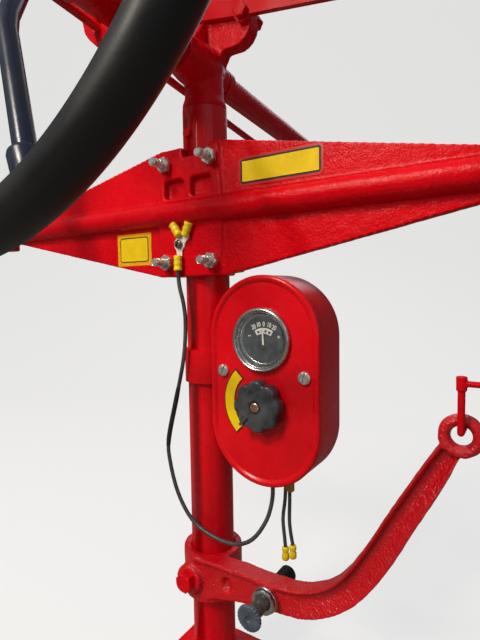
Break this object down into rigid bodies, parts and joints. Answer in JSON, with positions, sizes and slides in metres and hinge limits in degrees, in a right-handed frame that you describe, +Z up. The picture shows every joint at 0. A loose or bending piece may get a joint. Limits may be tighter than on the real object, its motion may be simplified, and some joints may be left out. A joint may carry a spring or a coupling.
{
  "type": "tractor steering post with instrument box",
  "caption": "Steering post of a vintage tractor, with steering wheel, column, cross beam, gauge and switch box, and a cast arm with an eye.",
  "frame": {"origin": "middle of the foot's underside, on the post's axis", "axes": "+X to the driver's right, +Y ahead, +Z up"},
  "size_m": [0.672, 0.6189, 0.8949],
  "materials": {
    "red_enamel": "gloss enamel over rough castings",
    "zinc_steel": "zinc plated, weathered",
    "bright_chrome": "polished, lightly pitted",
    "dial_black": "matt black with white marks",
    "dial_white": "matt white",
    "gauge_glass": "clear",
    "black_phenolic": "worn gloss",
    "screw_brass": "worn",
    "yellow_plastic": "semi gloss",
    "lead_pvc": "satin sleeve",
    "grommet_rubber": "matt",
    "rim_rubber": "hard rubber, satin",
    "wheel_black": "dark gloss paint"
  },
  "bodies": {
    "post": {"foot": "red_enamel", "post_tube": "red_enamel", "head_casting": "red_enamel", "head_bar": "red_enamel", "head_bar_bolts": "red_enamel", "column_tube": "red_enamel", "rod_bracket": "red_enamel", "throttle_rod": "red_enamel", "throttle_lever": "red_enamel", "throttle_knob": "black_phenolic", "head_screw": "red_enamel", "cross_beam": "red_enamel", "beam_clamp": "red_enamel", "beam_studs": "zinc_steel", "beam_nuts": "zinc_steel", "box_shell": "red_enamel", "box_cover": "red_enamel", "box_strap": "red_enamel", "strap_bolts": "zinc_steel", "cover_screws": "zinc_steel", "gauge_bezel": "bright_chrome", "gauge_dial": "dial_black", "gauge_needle": "dial_white", "gauge_glass": "gauge_glass", "switch_legend": "yellow_plastic", "switch_knob": "black_phenolic", "knob_screw": "screw_brass", "lead_grommets": "grommet_rubber", "ground_screw": "zinc_steel", "ground_terminal": "yellow_plastic", "ground_lead": "lead_pvc", "short_leads": "lead_pvc", "lead_terminals": "yellow_plastic", "arm_bracket": "red_enamel", "arm_bolt": "red_enamel", "pull_body": "zinc_steel", "pull_nut": "bright_chrome", "pull_knob": "black_phenolic", "eye_rod": "red_enamel"},
    "steering": {"steering_shaft": "red_enamel", "shaft_collar": "red_enamel", "shaft_coupling": "red_enamel", "wheel_rim": "rim_rubber", "wheel_spokes": "wheel_black", "wheel_hub": "wheel_black", "hub_nut": "zinc_steel"}
  },
  "joints": [
    {"name": "steering_turn", "type": "hinge", "parent": "post", "child": "steering", "pos_m": [0, 0, 0.65], "axis": [0, -0.9968, 0.0802], "continuous": true}
  ]
}
